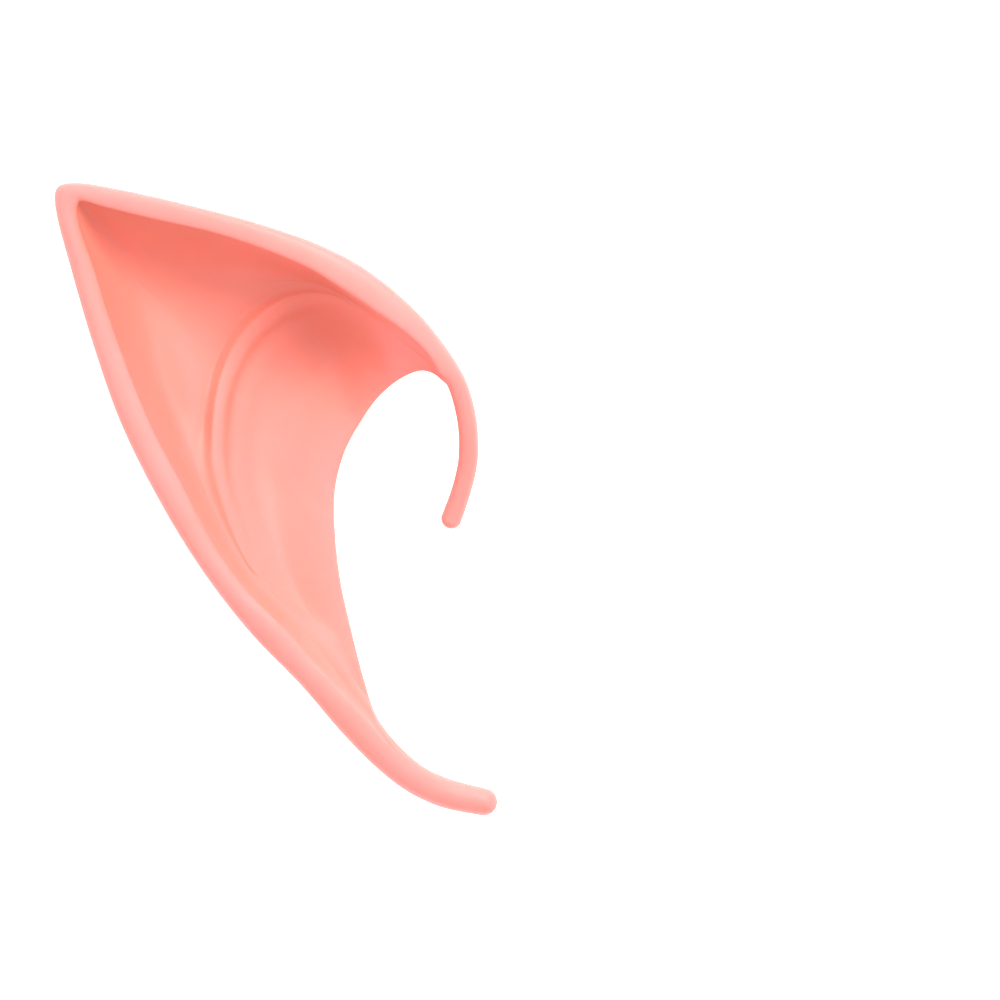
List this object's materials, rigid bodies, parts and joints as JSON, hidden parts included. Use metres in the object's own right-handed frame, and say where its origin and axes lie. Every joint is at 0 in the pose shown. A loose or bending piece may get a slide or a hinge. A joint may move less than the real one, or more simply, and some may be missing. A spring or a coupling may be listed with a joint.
{
  "type": "elf ear tip",
  "caption": "Soft latex slip-on pointed ear tip with a rolled rim, a pocket for the wearer's ear, a thin hook and a tail under the lobe.",
  "frame": {"origin": "centre of the bounding box in plan, on the surface that the shell lies on", "axes": "+X from the point's side to the hook's side, +Y from the tail up to the upper rim, +Z out of the ear's front"},
  "size_m": [0.07, 0.1, 0.024],
  "materials": {
    "moulded_latex": "soft satin, skin toned"
  },
  "bodies": {
    "root": {"ear_tip": "moulded_latex"}
  },
  "joints": []
}
